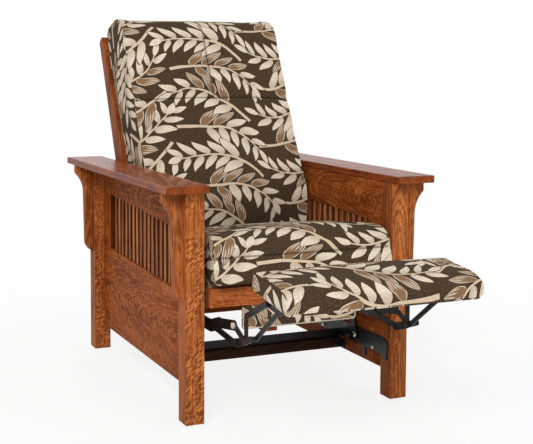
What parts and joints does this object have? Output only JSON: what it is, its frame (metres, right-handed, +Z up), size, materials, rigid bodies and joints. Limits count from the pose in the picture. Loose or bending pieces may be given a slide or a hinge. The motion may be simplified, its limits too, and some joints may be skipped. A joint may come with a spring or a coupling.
{
  "type": "recliner",
  "caption": "Mission style oak recliner with slatted sides, corbels under wide arms, loose cushions and a footrest that folds out on steel links",
  "frame": {"origin": "on the floor, under the centre of the chair's box with the footrest out", "axes": "+Z up, -Y to the front, +X to the viewer's right when facing the front"},
  "size_m": [0.815, 1.4093, 1.1128],
  "materials": {
    "oak": "stained quarter-sawn oak, satin",
    "arm_oak": "redder stained oak, semi-gloss",
    "rail_oak": "bright orange-brown stained oak",
    "dark_oak": "dark stained wood",
    "plain_wood": "unfinished hardwood and plywood",
    "fabric": "woven leaf-pattern upholstery, matt",
    "black_steel": "black enamelled steel",
    "zinc_steel": "zinc-plated bolt heads",
    "nylon": "cream nylon",
    "glide_nail": "brown nylon glide"
  },
  "bodies": {
    "frame": {"leg_front_right": "oak", "leg_front_left": "oak", "leg_rear_right": "oak", "leg_rear_left": "oak", "glides": "glide_nail", "corbel_front_right": "oak", "corbel_front_left": "oak", "corbel_rear_right": "oak", "corbel_rear_left": "oak", "arm_right": "arm_oak", "arm_left": "arm_oak", "side_panel_right": "oak", "side_panel_left": "oak", "arm_rail_right": "oak", "arm_rail_left": "oak", "stile_front_right": "oak", "stile_front_left": "oak", "stile_rear_right": "oak", "stile_rear_left": "oak", "side_slats_right": "oak", "side_slats_left": "oak", "cross_stretcher": "dark_oak", "rear_rail": "dark_oak", "base_angle": "black_steel", "base_rail_right": "black_steel", "base_rail_left": "black_steel", "base_bolts": "zinc_steel", "stretcher_brackets": "black_steel"},
    "front_swing": {"swing_links_front": "black_steel"},
    "rear_swing": {"swing_links_rear": "black_steel"},
    "seat": {"seat_front_rail": "rail_oak", "seat_side_rail_right": "plain_wood", "seat_side_rail_left": "plain_wood", "seat_rear_rail": "plain_wood", "seat_deck": "plain_wood", "front_flap": "fabric", "flap_cleat": "rail_oak", "carriage_plate_right": "black_steel", "carriage_plate_left": "black_steel", "footrest_plate_right": "black_steel", "footrest_plate_left": "black_steel", "seat_cushion": "fabric"},
    "back": {"back_post_right": "oak", "back_post_left": "oak", "back_bottom_rail": "oak", "back_top_rail": "oak", "back_slats": "oak", "back_brackets": "black_steel", "back_cushion": "fabric"},
    "leg_arm": {"footrest_arms": "black_steel", "stop_rollers": "nylon"},
    "leg_rear_arm": {"footrest_rear_arms": "black_steel"},
    "shin": {"footrest_shins": "black_steel"},
    "footrest": {"footrest_brackets": "black_steel", "footrest_board": "plain_wood", "footrest_pad": "fabric"},
    "drag_link": {"footrest_drag_links": "black_steel"}
  },
  "joints": [
    {"name": "footrest_fold", "type": "hinge", "parent": "seat", "child": "leg_arm", "pos_m": [0, -0.2671, 0.275], "axis": [1, 0, 0], "range_deg": [0, 128.5]},
    {"name": "rear_arm_fold", "type": "hinge", "parent": "seat", "child": "leg_rear_arm", "pos_m": [0, -0.20909, 0.25615], "axis": [1, 0, 0], "range_deg": [0, 128.5]},
    {"name": "knee_turn", "type": "hinge", "parent": "leg_arm", "child": "shin", "pos_m": [0, -0.41603, 0.26197], "axis": [1, 0, 0], "range_deg": [-128.5, 0]},
    {"name": "footrest_tilt", "type": "hinge", "parent": "shin", "child": "footrest", "pos_m": [0, -0.53489, 0.38265], "axis": [1, 0, 0], "range_deg": [0, 82.7]},
    {"name": "drag_link_turn", "type": "hinge", "parent": "footrest", "child": "drag_link", "pos_m": [0, -0.58871, 0.37778], "axis": [1, 0, 0], "range_deg": [-84.18, 0.5]},
    {"name": "front_swing_turn", "type": "hinge", "parent": "frame", "child": "front_swing", "pos_m": [0, -0.0721, 0.15], "axis": [1, 0, 0], "range_deg": [0, 30]},
    {"name": "rear_swing_turn", "type": "hinge", "parent": "frame", "child": "rear_swing", "pos_m": [0, 0.2679, 0.15], "axis": [1, 0, 0], "range_deg": [0, 30]},
    {"name": "seat_glide", "type": "hinge", "parent": "front_swing", "child": "seat", "pos_m": [0, -0.04454, 0.24613], "axis": [1, 0, 0], "range_deg": [-30, 0]},
    {"name": "back_recline", "type": "hinge", "parent": "seat", "child": "back", "pos_m": [0, 0.33689, 0.31893], "axis": [-1, 0, 0], "range_deg": [0, 24]}
  ],
  "couplings": [
    {"joint": "rear_arm_fold", "follows": "footrest_fold", "ratio": 1},
    {"joint": "knee_turn", "follows": "footrest_fold", "ratio": -1},
    {"joint": "footrest_tilt", "follows": "footrest_fold", "ratio": 0.64358},
    {"joint": "drag_link_turn", "follows": "footrest_fold", "ratio": -0.65124},
    {"joint": "front_swing_turn", "follows": "back_recline", "ratio": 1.25},
    {"joint": "rear_swing_turn", "follows": "back_recline", "ratio": 1.25},
    {"joint": "seat_glide", "follows": "back_recline", "ratio": -1.25}
  ]
}
